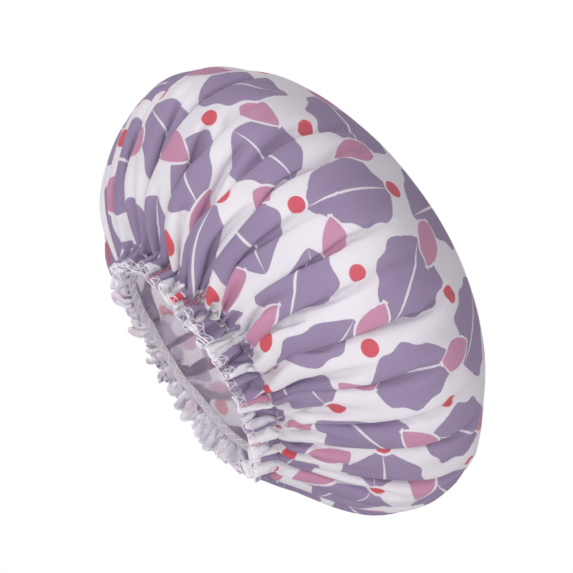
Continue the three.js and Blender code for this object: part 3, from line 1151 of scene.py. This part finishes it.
def make_looper():
    """The overlock's loops: over both faces of the edge in a zigzag, and knotted along the edge itself."""
    stitches = round(math.tau * CUT_RADIUS / OVERLOCK_PITCH)
    angle = round_angles(stitches * STITCH_POINTS)
    swing = (1 + zigzag(stitches * angle)) / 2
    parts = []
    for lift in (OVER_CLOTH, BEHIND_CLOTH):
        edge = row_on_cloth(CUT_RADIUS, angle, lift)
        needle = row_on_cloth(CUT_RADIUS - OVERLOCK_WIDTH, angle, lift)
        path = edge + (needle - edge) * swing[:, None]
        parts.append(tube(path, LOOP_RADIUS))
    knot = row_on_cloth(CUT_RADIUS, angle, -CLOTH_THICKNESS / 2)
    knot[:, 2] -= THREAD_RADIUS * (KNOT_DROP + KNOT_SWING * np.cos(stitches * angle))
    parts.append(tube(knot, KNOT_RADIUS))
    return thread_piece("overlock_looper_stitches", parts)


def place(piece, node, slot):
    """Ties a piece to the body and hides the solid that it stands for. The slot is not used."""
    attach(piece, "root")
    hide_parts(node)
    return piece


cover = place(make_cover(), "outer_cover", "printed_cloth")
liner = place(make_liner(), "waterproof_liner", "liner_film")
band = place(make_band(), "elastic_band", "elastic")
place(make_band_seam(), "elastic_seam_thread", "sewing_thread")
place(make_bartack(), "elastic_join_bartack", "sewing_thread")
casing = place(make_casing_stitch(), "casing_stitch_thread", "sewing_thread")
needle = place(make_needle_line(), "overlock_needle_thread", "sewing_thread")
looper = place(make_looper(), "overlock_looper_thread", "sewing_thread")

# Camera, floor and light

# Width of the picture at the cap, how far the camera stands from there, and the point that it looks at
FRAME_WIDTH = 0.2980
CAMERA_DISTANCE = 3.0
SENSOR_WIDTH = 36.0
CAMERA_AIM = Vector((0, -8.65 * MM, 75.0 * MM))
# The floor lies far below, out of the picture, so that the cap can be looked at from below too
FLOOR_HEIGHT = -3.4
FLOOR_HALF = 12.0
WORLD_STRENGTH = 0.6
BACKDROP_STRENGTH = 1.0
WHITE = (1, 1, 1, 1)
# Square lamps: metres to the right of the cap in the picture, above it and in front of it, width and power
LAMPS = {
    "key": (-0.75, 0.95, 0.7, 0.7, 7),
    "front": (-0.17, -0.11, 1.0, 0.4, 3.2),
    "mouth": (-0.5, -0.15, 0.9, 0.5, 4.2),
    "low": (0.55, -0.75, 0.5, 0.7, 4),
    "back": (-0.35, 0.1, -0.95, 0.6, 10),
}

CAMERA_SIDE = Vector((math.cos(LOOK_UP), 0, -math.sin(LOOK_UP)))
camera_right = Vector(picture_right)
camera_up = Vector(picture_up)


def make_camera():
    data = bpy.data.cameras.new("photo_camera")
    data.sensor_width = SENSOR_WIDTH
    data.lens = SENSOR_WIDTH * CAMERA_DISTANCE / FRAME_WIDTH
    camera = scene_object("photo_camera", data)
    turn = Matrix((camera_right, camera_up, CAMERA_SIDE)).transposed().to_4x4()
    camera.matrix_world = Matrix.Translation(CAMERA_AIM + CAMERA_SIDE * CAMERA_DISTANCE) @ turn
    bpy.context.scene.camera = camera


def make_light(name, right, up, front, size, power):
    data = bpy.data.lights.new(name, "AREA")
    data.size = size
    data.energy = power
    lamp = scene_object(name, data)
    offset = camera_right * right + camera_up * up + CAMERA_SIDE * front
    lamp.location = CAMERA_AIM + offset
    lamp.rotation_euler = (-offset).to_track_quat("-Z", "Y").to_euler()


def make_world():
    """Even light from all round, and a white backdrop for the camera alone."""
    world = bpy.data.worlds.new("studio")
    world.use_nodes = True
    bpy.context.scene.world = world
    tree = world.node_tree
    background = tree.nodes["Background"]
    backdrop = tree.nodes.new("ShaderNodeBackground")
    for shader, strength in ((background, WORLD_STRENGTH), (backdrop, BACKDROP_STRENGTH)):
        shader.inputs["Color"].default_value = WHITE
        shader.inputs["Strength"].default_value = strength
    rays = tree.nodes.new("ShaderNodeLightPath")
    mix = tree.nodes.new("ShaderNodeMixShader")
    tree.links.new(rays.outputs["Is Camera Ray"], mix.inputs[0])
    tree.links.new(background.outputs[0], mix.inputs[1])
    tree.links.new(backdrop.outputs[0], mix.inputs[2])
    tree.links.new(mix.outputs[0], tree.nodes["World Output"].inputs[0])


def make_floor():
    g = Nodes("pale_floor")
    source = g.node("ShaderNodeNewGeometry").outputs["Position"]
    shade = g.mix(g.noise(source, scale=3.0), *FLOOR_SHADES)
    g.set(Base_Color=shade, Roughness=0.9)
    sides = ((-1, -1), (1, -1), (1, 1), (-1, 1))
    corners = [(FLOOR_HALF * x, FLOOR_HALF * y, FLOOR_HEIGHT) for x, y in sides]
    floor = mesh_piece("floor", corners, [(0, 1, 2, 3)], g.material)


make_camera()
make_world()
make_floor()
for lamp_name, lamp_values in LAMPS.items():
    make_light(lamp_name, *lamp_values)
bpy.context.scene.view_settings.view_transform = "Standard"
